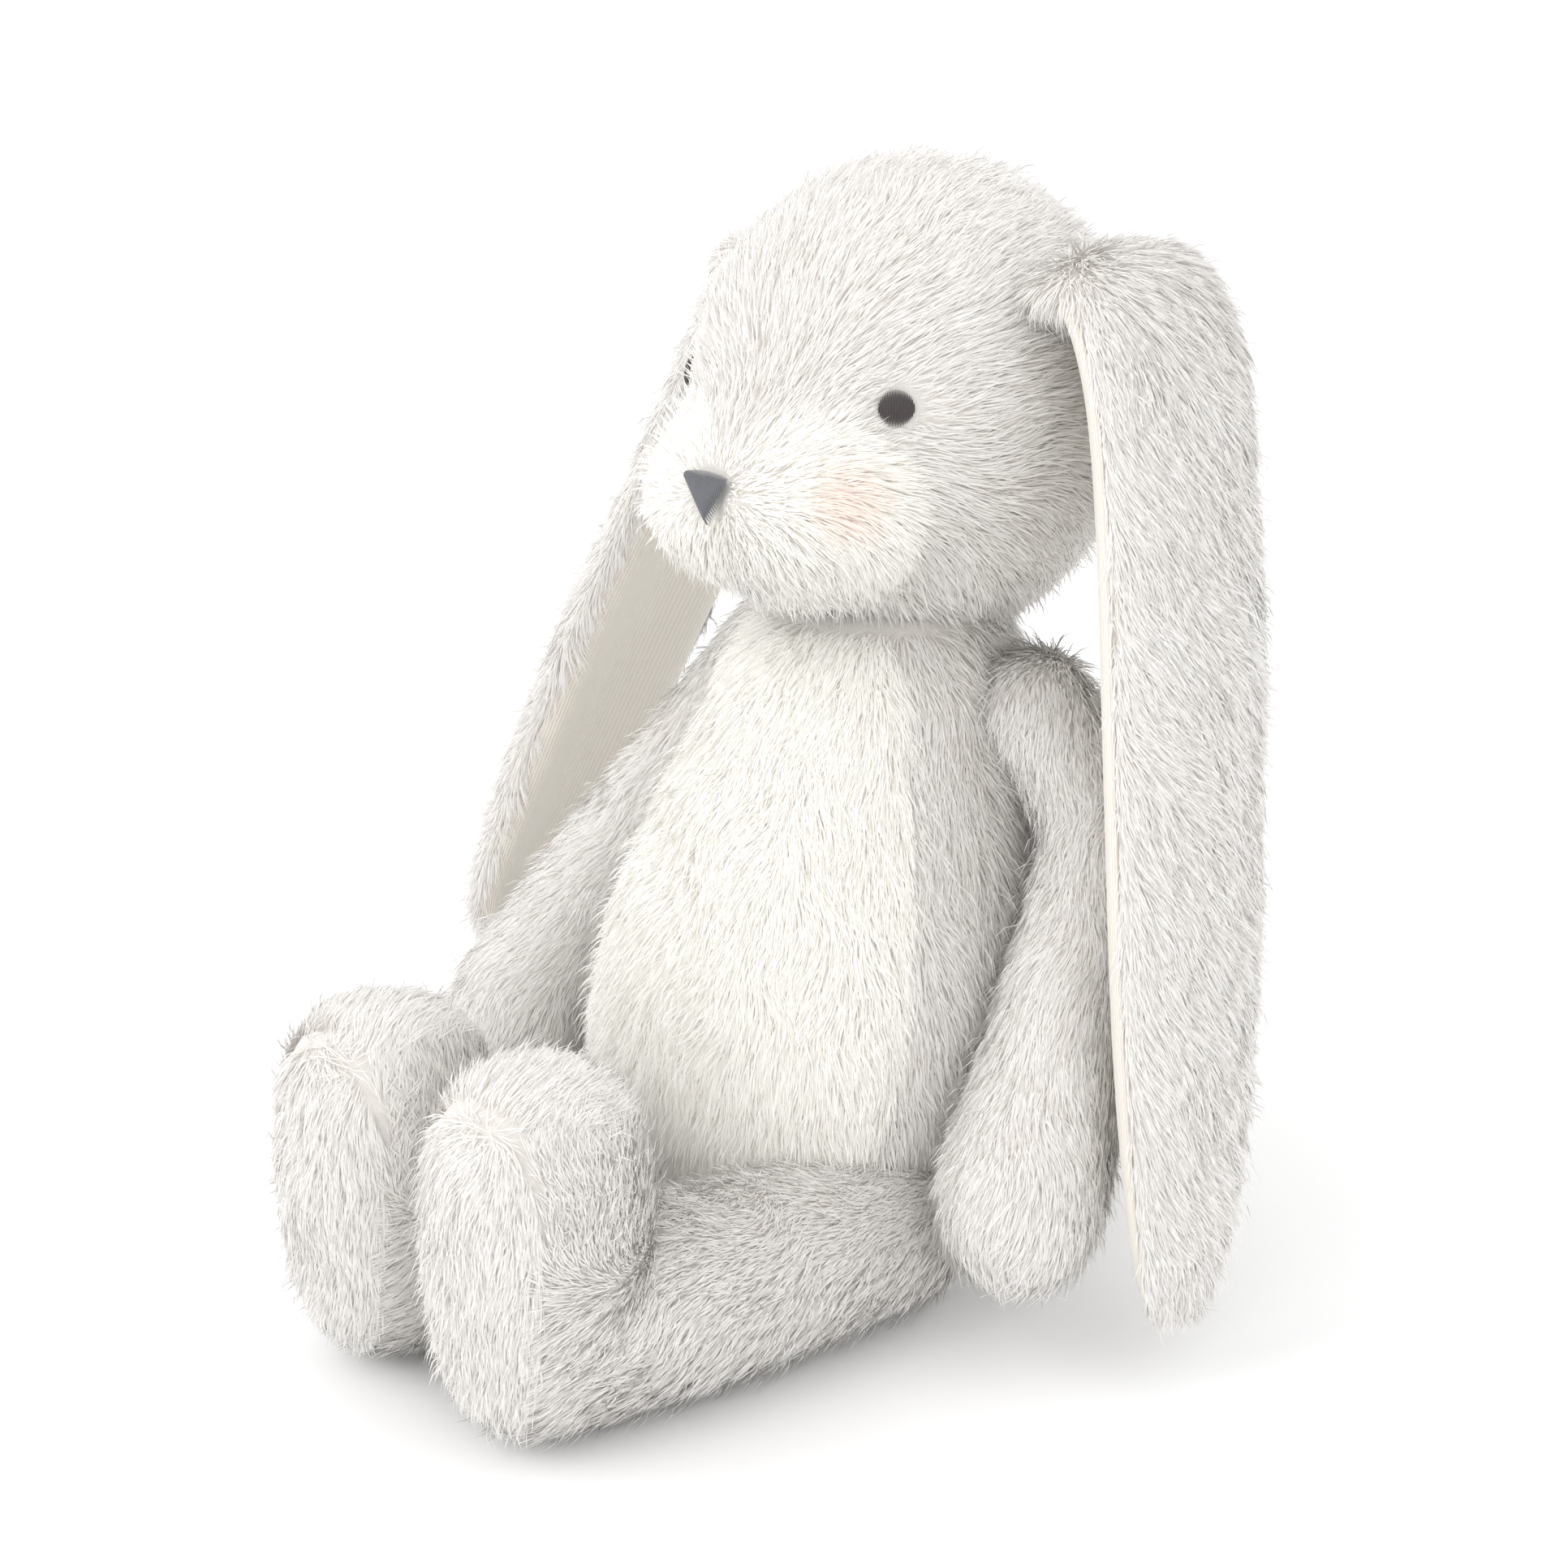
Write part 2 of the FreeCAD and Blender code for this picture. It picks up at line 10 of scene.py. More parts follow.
import bpy
import numpy as np
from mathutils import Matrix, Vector


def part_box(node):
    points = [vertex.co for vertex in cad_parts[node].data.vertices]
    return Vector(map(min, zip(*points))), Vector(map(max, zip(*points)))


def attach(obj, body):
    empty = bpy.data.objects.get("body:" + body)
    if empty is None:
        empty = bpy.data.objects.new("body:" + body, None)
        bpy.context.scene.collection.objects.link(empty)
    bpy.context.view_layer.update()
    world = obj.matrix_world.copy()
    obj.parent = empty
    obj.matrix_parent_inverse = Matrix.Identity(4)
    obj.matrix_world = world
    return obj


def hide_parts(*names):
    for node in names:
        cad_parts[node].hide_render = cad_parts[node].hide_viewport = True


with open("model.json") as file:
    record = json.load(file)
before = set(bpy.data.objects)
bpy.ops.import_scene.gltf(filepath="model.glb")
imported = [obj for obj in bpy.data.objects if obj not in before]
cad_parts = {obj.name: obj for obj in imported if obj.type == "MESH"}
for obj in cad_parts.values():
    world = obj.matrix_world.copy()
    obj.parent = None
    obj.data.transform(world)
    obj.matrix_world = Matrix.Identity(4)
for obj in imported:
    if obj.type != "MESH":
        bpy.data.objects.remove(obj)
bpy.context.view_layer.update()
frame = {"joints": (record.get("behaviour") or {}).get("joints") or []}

MM = 0.001
SIDES = {"left": 1, "right": -1}
BACK = np.array([0.0, 1.0, 0.0])
UP = np.array([0.0, 0.0, 1.0])
RIGHT_TO_LEFT = np.array([1.0, 0.0, 0.0])
LOCK_KEYS = [(127.1, 311.7, 74.7), (269.5, 183.3, 246.1), (113.5, 271.9, 124.6)]
RIBBON_POINTS = 5  # two at the root, two at the middle and the tip
RIBBON_CORNERS = 7  # four round the lower face and three round the upper one
RIBBON_FACES = 2
ROOT_DEPTH = 0.6 * MM
STRAY_SHARE = 0.07


# ---------------------------------------------------------------- numbers and arrays

def unit(vectors):
    """Each row scaled to length one."""
    return vectors / np.maximum(np.linalg.norm(vectors, axis=-1, keepdims=True), 1e-12)


def smooth_step(low, high, value):
    """0 below low, 1 above high, and an S-shaped cubic between them."""
    share = np.clip((value - low) / (high - low), 0, 1)
    return share * share * (3 - 2 * share)


def along(points, share):
    """A Catmull-Rom curve through points, at shares from 0 to 1 of the way along their list."""
    points = np.asarray(points, float)
    last = len(points) - 1
    place = np.clip(share, 0, 1) * last
    start = np.minimum(place.astype(int), last - 1)
    t = (place - start)[:, None]
    before, here = points[np.maximum(start - 1, 0)], points[start]
    there, after = points[start + 1], points[np.minimum(start + 2, last)]
    swing = 2 * before - 5 * here + 4 * there - after
    twist = 3 * (here - there) + after - before
    return 0.5 * (2 * here + (there - before) * t + swing * t ** 2 + twist * t ** 3)


class Ripple:
    """Smooth noise: a sum of sine waves with random directions, lengths and phases."""

    def __init__(self, seed, wavelength, channels=1, waves=7):
        random = np.random.default_rng(seed)
        directions = unit(random.normal(size=(channels, waves, 3)))
        stretch = random.uniform(0.6, 1.6, (channels, waves, 1))
        self.waves = directions * stretch * (2 * math.pi / wavelength)
        self.phases = random.uniform(0, 2 * math.pi, (channels, waves))

    def at(self, points):
        """Values of about -1 to 1, one column for each channel."""
        angles = np.einsum("cwk,nk->ncw", self.waves, points) + self.phases
        return np.sin(angles).mean(axis=2) * 1.8


def frame_along(path, reference=BACK):
    """Two directions across a path at each point: the nearest to a reference, and the third way."""
    travel = unit(np.gradient(path, axis=0))
    fore = unit(reference - travel * (travel @ reference)[:, None])
    return fore, np.cross(travel, fore)


# ---------------------------------------------------------------- meshes

def mesh_object(name, points, faces):
    """A mesh from arrays of points in metres and of faces."""
    mesh = bpy.data.meshes.new(name)
    mesh.from_pydata(points.tolist(), [], faces)
    mesh.validate()
    mesh.polygons.foreach_set("use_smooth", [True] * len(mesh.polygons))
    mesh.update()
    piece = bpy.data.objects.new(name, mesh)
    bpy.context.scene.collection.objects.link(piece)
    return piece


def wrapped(name, rings):
    """A closed skin from rings of points: both ends close to a pole, and faces look outwards."""
    rows, columns, _ = rings.shape
    first, last = rings[0].mean(0), rings[-1].mean(0)
    points = np.vstack([rings.reshape(-1, 3), first, last])
    row, column = np.meshgrid(np.arange(rows - 1), np.arange(columns), indexing="ij")
    following = (column + 1) % columns
    corners = [row * columns + column, row * columns + following]
    corners += [(row + 1) * columns + following, (row + 1) * columns + column]
    quads = np.stack(corners, -1).reshape(-1, 4)
    ring = np.arange(columns)
    turned = (ring + 1) % columns
    low_pole, high_pole = rows * columns, rows * columns + 1
    low = np.stack([turned, ring, np.full(columns, low_pole)], 1)
    top = (rows - 1) * columns
    high = np.stack([top + ring, top + turned, np.full(columns, high_pole)], 1)
    from_middle = points - points.mean(0)
    first_half = np.cross(from_middle[quads[:, 1]], from_middle[quads[:, 2]])
    if (from_middle[quads[:, 0]] * first_half).sum() < 0:
        quads, low, high = quads[:, ::-1], low[:, ::-1], high[:, ::-1]
    return mesh_object(name, points, quads.tolist() + low.tolist() + high.tolist())


def joined_skin(name, shells, voxel):
    """Several closed shells made one closed skin on a grid of voxels, then smoothed."""
    bpy.ops.object.select_all(action="DESELECT")
    for shell in shells:
        shell.select_set(True)
    bpy.context.view_layer.objects.active = shells[0]
    bpy.ops.object.join()
    skin = shells[0]
    skin.name = skin.data.name = name
    remesh = skin.modifiers.new("one_skin", "REMESH")
    remesh.mode = "VOXEL"
    remesh.voxel_size = voxel
    remesh.use_smooth_shade = True
    smoothing = skin.modifiers.new("soften", "SMOOTH")
    smoothing.factor = 0.5
    smoothing.iterations = 12
    for modifier in list(skin.modifiers):
        bpy.ops.object.modifier_apply(modifier=modifier.name)
    return skin


def mesh_arrays(piece):
    """Points, normals and triangles of a piece's mesh."""
    mesh = piece.data
    points = np.empty(len(mesh.vertices) * 3)
    normals = np.empty(len(mesh.vertices) * 3, np.float32)
    mesh.vertices.foreach_get("co", points)
    mesh.vertex_normals.foreach_get("vector", normals)
    mesh.calc_loop_triangles()
    triangles = np.empty(len(mesh.loop_triangles) * 3, np.int32)
    mesh.loop_triangles.foreach_get("vertices", triangles)
    return points.reshape(-1, 3), normals.reshape(-1, 3).astype(float), triangles.reshape(-1, 3)


def scattered(piece, count, random, wanted=None, allowed=None):
    """Points spread evenly by area over a piece, with their normals.

    wanted(points) is 0 or 1 at each point, and allowed is 0 or 1 at each vertex of the piece.
    With wanted, three times count places are tried and the first count wanted ones are kept, so
    count is an upper limit: a small wanted area gives fewer.
    """
    points, normals, triangles = mesh_arrays(piece)
    corners = points[triangles]
    area = np.linalg.norm(np.cross(corners[:, 1] - corners[:, 0], corners[:, 2] - corners[:, 0]), axis=1)
    if allowed is not None:
        area = area * allowed[triangles].min(1)
    tries = count if wanted is None else 3 * count
    chosen = random.choice(len(area), tries, p=area / area.sum())
    first, second = np.sqrt(random.random((tries, 1))), random.random((tries, 1))
    shares = np.hstack([1 - first, first * (1 - second), first * second])[:, :, None]
    spots = (corners[chosen] * shares).sum(1)
    normals = unit((normals[triangles[chosen]] * shares).sum(1))
    if wanted is not None:
        kept = np.nonzero(wanted(spots) > 0.5)[0][:count]
        spots, normals = spots[kept], normals[kept]
    return spots, normals


def lock_offsets(points, spacing, seed):
    """From each point to the nearest point of a jittered grid, and a random number for that point."""
    cell = np.floor(points / spacing)
    nearest = np.full(len(points), np.inf)
    offset = np.zeros_like(points)
    luck = np.zeros(len(points))
    steps = np.stack(np.meshgrid(*[(-1, 0, 1)] * 3, indexing="ij"), -1).reshape(-1, 3)
    for step in steps:
        corner = cell + step
        waves = [np.sin(corner @ np.array(key) + seed) * 43758.5453 for key in LOCK_KEYS]
        jitter = np.stack([wave - np.floor(wave) for wave in waves], 1)
        gap = (corner + jitter) * spacing - points
        distance = (gap ** 2).sum(1)
        closer = distance < nearest
        nearest = np.where(closer, distance, nearest)
        offset = np.where(closer[:, None], gap, offset)
        luck = np.where(closer, jitter[:, 0], luck)
    return offset, luck


def fur(name, skin, count, comb, seed, pile=9 * MM, lift=0.25, width=0.42 * MM, gather=0.5,
        wanted=None, allowed=None, trim=None, lock=3.4 * MM, untidy=0.32, floor=0.4 * MM):
    """Fur on a skin, as one mesh of ribbons.

    Each ribbon is a bent strip of two segments: it leaves the skin along the normal, then bends
    over along comb(points, normals), a field of directions in the surface.  Its tip is drawn
    towards the middle of its lock.  The attribute "tone" rises from root to tip, which darkens the
    roots as painted shade deep in the pile, and varies from lock to lock and from ribbon to ribbon.
    count is an upper limit, as in scattered.
    """
    random = np.random.default_rng(seed)
    roots, normals = scattered(skin, count, random, wanted, allowed)
    count = len(roots)
    flow = comb(roots, normals) + untidy * Ripple(seed, 26 * MM, 3).at(roots)
    flow = flow + 0.45 * untidy * Ripple(seed + 1, 8 * MM, 3).at(roots)
    flow = flow + random.normal(0, 0.13, flow.shape)
    flow = unit(flow - normals * (flow * normals).sum(1, keepdims=True))
    offset, luck = lock_offsets(roots, lock, seed % 7)
    offset = offset - normals * (offset * normals).sum(1, keepdims=True)
    length = pile * random.uniform(0.7, 1.12, count) * (0.88 + 0.24 * luck)
    if trim is not None:
        length = length * trim(roots)
    rise = lift * random.uniform(0.6, 1.3, count) * (0.85 + 0.3 * luck)
    rise = np.where(random.random(count) < STRAY_SHARE, 0.3 + 1.3 * rise, rise)
    reach = (length * np.sqrt(np.maximum(1 - rise ** 2, 0.05)))[:, None]
    height = (length * rise)[:, None]
    tips = roots + flow * reach + normals * height + offset * gather
    bends = roots + flow * reach * 0.42 + normals * height * 0.95 + offset * gather * 0.35
    roots = roots - normals * ROOT_DEPTH
    middles = 0.25 * roots + 0.5 * bends + 0.25 * tips
    roll = random.normal(0, 0.35, (count, 1))
    across = np.cross(normals, flow) * np.cos(roll) + normals * np.sin(roll)
    half = (0.5 * width * random.uniform(0.7, 1.25, count))[:, None]
    strips = [roots - across * half, roots + across * half]
    strips += [middles + across * half * 0.85, middles - across * half * 0.85, tips]
    points = np.stack(strips, 1)
    points[..., 2] = np.maximum(points[..., 2], floor)
    first = np.arange(count)[:, None] * RIBBON_POINTS
    corners = np.hstack([first + np.array([1, 0, 3, 2]), first + np.array([2, 3, 4])])
    mesh = bpy.data.meshes.new(name)
    mesh.vertices.add(count * RIBBON_POINTS)
    mesh.vertices.foreach_set("co", points.reshape(-1).astype(np.float32))
    mesh.loops.add(count * RIBBON_CORNERS)
    mesh.loops.foreach_set("vertex_index", corners.reshape(-1).astype(np.int32))
    mesh.polygons.add(count * RIBBON_FACES)
    starts = (np.arange(count)[:, None] * RIBBON_CORNERS + np.array([0, 4])).reshape(-1)
    mesh.polygons.foreach_set("loop_start", starts.astype(np.int32))
    mesh.polygons.foreach_set("use_smooth", np.ones(count * RIBBON_FACES, bool))
    mesh.update(calc_edges=True)
    # tone rises from root to tip, which darkens the roots: painted shade deep in the pile; the random
    # spread per ribbon and per lock is the fur's own
    tone = np.array([0.0, 0.0, 0.7, 0.7, 1.0])[None, :] + random.normal(0, 0.12, (count, 1))
    tone = tone + 0.2 * (luck[:, None] - 0.5)
    attribute = mesh.attributes.new("tone", "FLOAT", "POINT")
    attribute.data.foreach_set("value", np.clip(tone, 0, 1).reshape(-1).astype(np.float32))
    ribbon = unit(np.cross(across, tips - roots))
    ribbon = ribbon * np.sign((ribbon * normals).sum(1, keepdims=True))
    shading = unit(0.88 * normals + 0.12 * ribbon)
    mesh.normals_split_custom_set_from_vertices(np.repeat(shading, RIBBON_POINTS, axis=0).tolist())
    piece = bpy.data.objects.new(name, mesh)
    piece.visible_shadow = False  # pale fibres let light through, so the skins alone cast shadows
    bpy.context.scene.collection.objects.link(piece)
    return piece


# ---------------------------------------------------------------- materials

class Value:
    """A shader socket; adding to it or multiplying it adds a Math node."""

    def __init__(self, shader, socket):
        self.shader, self.socket = shader, socket

    def maths(self, operation, first, second):
        return self.shader.node("ShaderNodeMath", {"operation": operation}, {0: first, 1: second})

    def __add__(self, other):
        return self.maths("ADD", self, other)

    def __mul__(self, other):
        return self.maths("MULTIPLY", self, other)

    __radd__, __rmul__ = __add__, __mul__


class Shader:
    """A material with a Principled surface."""

    def __init__(self, name, **constants):
        self.material = bpy.data.materials.new(name)
        self.material.use_nodes = True
        self.tree = self.material.node_tree
        self.surface = self.tree.nodes["Principled BSDF"]
        for socket, value in constants.items():
            self.surface.inputs[socket.replace("_", " ").title()].default_value = value

    def node(self, kind, settings, values, output=0):
        """A node of a kind, its settings made first, then its sockets' values or links."""
        made = self.tree.nodes.new(kind)
        for setting, value in settings.items():
            setattr(made, setting, value)
        for socket, value in values.items():
            if isinstance(value, Value):
                self.tree.links.new(value.socket, made.inputs[socket])
            else:
                made.inputs[socket].default_value = value
        return Value(self, made.outputs[output])

    def mix(self, share, first, second):
        """Two colours mixed."""
        return self.node("ShaderNodeMix", {"data_type": "RGBA"}, {0: share, 6: first, 7: second}, 2)

    def feed(self, socket, value):
        """Link a value to one of the surface's sockets."""
        self.tree.links.new(value.socket, self.surface.inputs[socket])


def linear(red, green, blue):
    """A colour given as 0 to 255 on a screen, in the linear light that shaders use."""
    share = np.array([red, green, blue]) / 255
    light = np.where(share <= 0.04045, share / 12.92, ((share + 0.055) / 1.055) ** 2.4)
    return (*light.tolist(), 1.0)


def fur_material(name, root, tip, other_tip, blush=None):
    """Fur: darker and warmer at the root, painted shade deep in the pile, with soft patches of a second
    tip colour, and blushing cheeks.
    """
    shader = Shader(name, roughness=0.62, sheen_weight=0.25, sheen_roughness=0.5)
    shader.surface.inputs["Specular IOR Level"].default_value = 0.28
    tone = shader.node("ShaderNodeAttribute", {"attribute_name": "tone"}, {}, 2)
    where = shader.node("ShaderNodeTexCoord", {}, {}, 3)
    patch = shader.node("ShaderNodeTexNoise", {}, {"Vector": where, "Scale": 55.0, "Detail": 2.0})
    colour = shader.mix(tone, root, shader.mix(patch, tip, other_tip))
    if blush is not None:
        mirrored = shader.node("ShaderNodeVectorMath", {"operation": "ABSOLUTE"}, {0: where})
        gap = shader.node("ShaderNodeVectorMath", {"operation": "DISTANCE"},
                          {0: mirrored, 1: BLUSH_PLACE}, 1)
        fade = {"Value": gap, "From Min": 0.002, "From Max": 0.016, "To Min": 0.42, "To Max": 0.0}
        share = shader.node("ShaderNodeMapRange", {"interpolation_type": "SMOOTHSTEP"}, fade)
        colour = shader.mix(share, colour, blush)
    shader.feed("Base Color", colour)
    return shader.material


def skin_material(name, colour):
    """The knitted backing under the fur: fine loops in relief, with painted shade where they sink."""
    shader = Shader(name, roughness=0.85, sheen_weight=0.3)
    where = shader.node("ShaderNodeTexCoord", {}, {}, 3)
    loops = shader.node("ShaderNodeTexNoise", {}, {"Vector": where, "Scale": 900.0, "Detail": 2.0})
    # dark is the colour where the loops sink: painted shade between them
    dark = tuple(0.8 * share for share in colour[:3]) + (1.0,)
    shader.feed("Base Color", shader.mix(loops, dark, colour))
    bump = shader.node("ShaderNodeBump", {}, {"Strength": 0.4, "Distance": 0.0004, "Height": loops})
    shader.feed("Normal", bump)
    return shader.material


def velour_material(name, colour, deep):
    """Velour with fine ribs that run the length of the ear, and painted shade where the ribs and the nap
    sink.
    """
    shader = Shader(name, roughness=0.8, sheen_weight=0.5, sheen_roughness=0.4)
    own = shader.node("ShaderNodeUVMap", {"uv_map": "weave"}, {})
    rib = shader.node(
        "ShaderNodeTexWave",
        {"wave_type": "BANDS", "bands_direction": "X", "wave_profile": "SIN"},
        {"Vector": own, "Scale": 30.0, "Distortion": 1.2, "Detail": 2.0, "Detail Scale": 3.0},
        1,
    )
    nap = shader.node("ShaderNodeTexNoise", {}, {"Vector": own, "Scale": 320.0, "Detail": 3.0})
    height = rib * 0.6 + nap * 0.4
    # deep is the colour where the ribs and the nap sink: painted shade in the grooves
    shader.feed("Base Color", shader.mix(height, deep, colour))
    bump = shader.node("ShaderNodeBump", {}, {"Strength": 0.5, "Distance": 0.0005, "Height": height})
    shader.feed("Normal", bump)
    return shader.material


def thread_material(name, colour, glint):
    """Embroidery thread: a soft lustre, with painted glints in fine patches of a lighter colour."""
    shader = Shader(name, roughness=0.42, sheen_weight=0.3)
    where = shader.node("ShaderNodeTexCoord", {}, {}, 3)
    plies = shader.node("ShaderNodeTexNoise", {}, {"Vector": where, "Scale": 2500.0, "Detail": 2.0})
    # glint is mixed in by fine noise: painted highlights on the thread
    shader.feed("Base Color", shader.mix(plies, colour, glint))
    return shader.material


BLUSH_PLACE = (0.0365, 0.0255, 0.2065)
# Each fur's first colour is its root, darker and warmer than its tips: painted shade deep in the pile
GREY_FUR = fur_material("grey_fur", linear(226, 221, 214), linear(237, 236, 234),
                        linear(232, 229, 226))
WHITE_FUR = fur_material("white_fur", linear(240, 237, 229), linear(248, 247, 243),
                         linear(245, 243, 238), blush=linear(252, 216, 200))
# The backing is as dark as the fur's roots: painted shade deep under the pile
GREY_SKIN = skin_material("grey_backing", linear(226, 222, 217))
VELOUR = velour_material("velour_lining", linear(243, 239, 231), linear(222, 215, 204))
EYE_THREAD = thread_material("eye_thread", linear(38, 31, 32), linear(70, 60, 60))
NOSE_THREAD = thread_material("nose_thread", linear(78, 79, 84), linear(112, 114, 120))
TAPE = skin_material("label_tape", linear(242, 242, 240))


def finished(piece, material, slot_name, body, *nodes):
    """Give a piece its material, the CAD nodes it stands for, and the body it rides on; slot_name is not
    used.
    """
    piece.data.materials.clear()
    piece.data.materials.append(material)
    if nodes:
        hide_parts(*nodes)
    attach(piece, body)


# ---------------------------------------------------------------- places taken from the frame

JOINTS = {joint["name"]: np.array(joint["pos_m"]) for joint in frame["joints"]}
NECK = JOINTS["head_nod"]


def middle(node):
    """The middle of a CAD node's box."""
    low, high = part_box(node)
    return np.array((low + high) / 2)


def inside_ball(points, centre, radii):
    """How far points are from a centre, as shares of an ellipsoid's radii; under 1 is inside."""
    return np.linalg.norm((points - centre) / radii, axis=1)


# ---------------------------------------------------------------- torso

SEAM_FORWARD = 26.5 * MM
SEAM_HEIGHT = 62 * MM
SEAM_LEAN = math.tan(math.radians(16))
BELLY_HEM = 24 * MM
# Radius, height and how far back the middle is, from the seat to the hidden top inside the head.
TORSO_PROFILE = np.array([
    (2, 0.8, 0), (20, 0.8, 0), (30, 1.4, 0), (40, 7, 0), (50, 20, 0), (55.5, 40, 0), (57, 64, 0),
    (54, 92, 6), (47, 120, 13), (40.5, 142, 19), (35, 158, 23), (24, 171, 24), (3, 178, 24),
]) * MM


def torso_skin():
    """The torso: circles about a line that leans back, their radius given by height."""
    share = np.linspace(0, 1, 120)
    radius, height, back = along(TORSO_PROFILE, share).T
    turn = np.linspace(0, 2 * math.pi, 128, endpoint=False)
    x = radius[:, None] * np.cos(turn)
    y = back[:, None] + radius[:, None] * np.sin(turn)
    z = np.broadcast_to(np.maximum(height, 0.6 * MM)[:, None], x.shape)
    rings = np.stack([x, y, z], -1)
    points = rings.reshape(-1, 3)
    outwards = points - np.stack([0 * points[:, 0], np.repeat(back, 128), points[:, 2]], 1)
    swell = 0.6 * MM * Ripple(3, 40 * MM).at(points)
    raised = smooth_step(0.004, 0.02, points[:, 2])[:, None]
    rings = (points + unit(outwards) * swell * raised).reshape(rings.shape)
    return wrapped("torso_skin", rings)


def belly_share(points):
    """1 on the white belly panel, in front of its seams and above its hem, and 0 elsewhere."""
    seam = -SEAM_FORWARD + (points[:, 2] - SEAM_HEIGHT) * SEAM_LEAN
    wobble = 0.8 * MM * Ripple(11, 14 * MM).at(points)[:, 0]
    return ((points[:, 1] < seam + wobble) & (points[:, 2] > BELLY_HEM + 2 * wobble)).astype(float)


def outside_limbs(points):
    """0 on the parts of the torso that the hips, shoulders, tail and head always cover."""
    clear = np.ones(len(points))
    for side, sign in SIDES.items():
        clear *= inside_ball(points, JOINTS[f"leg_{side}_lift"], 17 * MM) > 1
        clear *= inside_ball(points, JOINTS[f"arm_{side}_swing"], 13 * MM) > 1
    clear *= inside_ball(points, middle("tail_cover"), 15 * MM) > 1
    return clear * (points[:, 2] < 168 * MM) * (points[:, 2] > 1.5 * MM)


def comb_down(points, normals):
    """Fur combed down and a little outwards."""
    return -UP + 0.15 * normals


def build_torso():
    """The torso's skin, its grey fur and the white fur of the belly panel."""
    skin = torso_skin()
    finished(skin, GREY_SKIN, "grey_fur", "torso", "torso_back_cover", "seat_panel",
             "torso_stuffing", "seat_bead_pouch", "seat_beads")

    def side_wanted(points):
        """The grey sides and back."""
        return outside_limbs(points) * (1 - belly_share(points))

    def belly_wanted(points):
        """The white belly panel."""
        return outside_limbs(points) * belly_share(points)

    back = fur("torso_fur", skin, 64000, comb_down, 21, wanted=side_wanted)
    finished(back, GREY_FUR, "grey_fur", "torso")
    belly = fur("belly_fur", skin, 56000, comb_down, 22, wanted=belly_wanted)
    finished(belly, WHITE_FUR, "white_fur", "torso", "belly_panel")


# ---------------------------------------------------------------- head

_, HEAD_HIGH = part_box("head_cover")
SKULL_RADII = np.array([52.0, 58.5, 59.0]) * MM
SKULL = np.array([0, HEAD_HIGH.y - 60 * MM, HEAD_HIGH.z - 60.5 * MM])
MUZZLE_RADII = np.array([38.0, 31.0, 26.0]) * MM
MUZZLE = SKULL + np.array([0, -41, -17]) * MM
HEAD_MIDDLE = SKULL + np.array([0, -18, -9]) * MM
CHEEK = np.array([20.0, -38.0, 197.0]) * MM
EYE_SIDE, EYE_FORWARD, EYE_HEIGHT = 37.5, -11.5, 228.5  # millimetres


def reach_in(direction, origin, centre, radii):
    """How far a ray from inside an ellipsoid goes to reach it."""
    start, way = (origin - centre) / radii, direction / radii
    a, b, c = (way ** 2).sum(-1), (way * start).sum(-1), (start ** 2).sum() - 1
    return (-b + np.sqrt(b ** 2 - a * c)) / a


def head_point(direction):
    """The head's surface along rays from its middle: the softened larger of two ellipsoids."""
    sharp = 14
    skull = reach_in(direction, HEAD_MIDDLE, SKULL, SKULL_RADII)
    muzzle = reach_in(direction, HEAD_MIDDLE, MUZZLE, MUZZLE_RADII)
    reach = (skull ** sharp + muzzle ** sharp) ** (1 / sharp)
    point = HEAD_MIDDLE + direction * reach[..., None]
    for sign in (1, -1):
        lobe = CHEEK * np.array([sign, 1, 1])
        near = np.exp(-((np.linalg.norm(point - lobe, axis=-1) / (15 * MM)) ** 2))
        reach = reach + 3.5 * MM * near
    cleft = np.exp(-((point[..., 0] / (5 * MM)) ** 2)) * smooth_step(-0.015, -0.035, point[..., 1])
    cleft = cleft * smooth_step(0.214, 0.200, point[..., 2]) * smooth_step(0.172, 0.182, point[..., 2])
    return HEAD_MIDDLE + direction * (reach - 3.5 * MM * cleft)[..., None]


def head_skin():
    """The head: head_point on rays by angle from the top and angle round."""
    fall = np.linspace(0.02, math.pi - 0.02, 128)
    turn = np.linspace(0, 2 * math.pi, 160, endpoint=False)
    ring = np.stack([np.cos(turn), np.sin(turn)], -1)
    level = np.sin(fall)[:, None, None] * ring
    tall = np.broadcast_to(np.cos(fall)[:, None, None], level.shape[:2] + (1,))
    return wrapped("head_skin", head_point(np.concatenate([level, tall], -1)))


PATCH = np.array([23.0, -33.0, 200.0]) * MM
PATCH_RADII = np.array([25.0, 33.0, 25.0]) * MM


def muzzle_share(points):
    """1 on the white muzzle: two round cheeks that meet below the nose, and 0 elsewhere."""
    mirrored = np.abs(points[:, 0:1]) * np.array([[1.0, 0, 0]]) + points * np.array([[0, 1.0, 1.0]])
    away = inside_ball(mirrored, PATCH, PATCH_RADII)
    wobble = 0.03 * Ripple(12, 12 * MM).at(points)[:, 0]
    return (away + wobble < 1).astype(float)


def comb_head(points, normals):
    """Fur combed away from the nose, back over the crown and down at the cheeks."""
    nose = middle("nose")
    away = unit(points - nose) + 0.25 * BACK
    low = smooth_step(0.225, 0.180, points[:, 2])[:, None]
    return away * (1 - 0.55 * low) - UP * 0.75 * low


def off_face(points):
    """0 where the eyes, the nose, the ear roots and the neck need clear skin."""
    clear = np.ones(len(points))
    for side, sign in SIDES.items():
        clear *= inside_ball(points, eye_middle(sign), 5.0 * MM) > 1
        clear *= inside_ball(points, JOINTS[f"ear_{side}_lift"], np.array([8, 20, 8]) * MM) > 1
    clear *= inside_ball(points, middle("nose"), np.array([6, 9, 6]) * MM) > 1
    return clear * (inside_ball(points, NECK, 24 * MM) > 1)


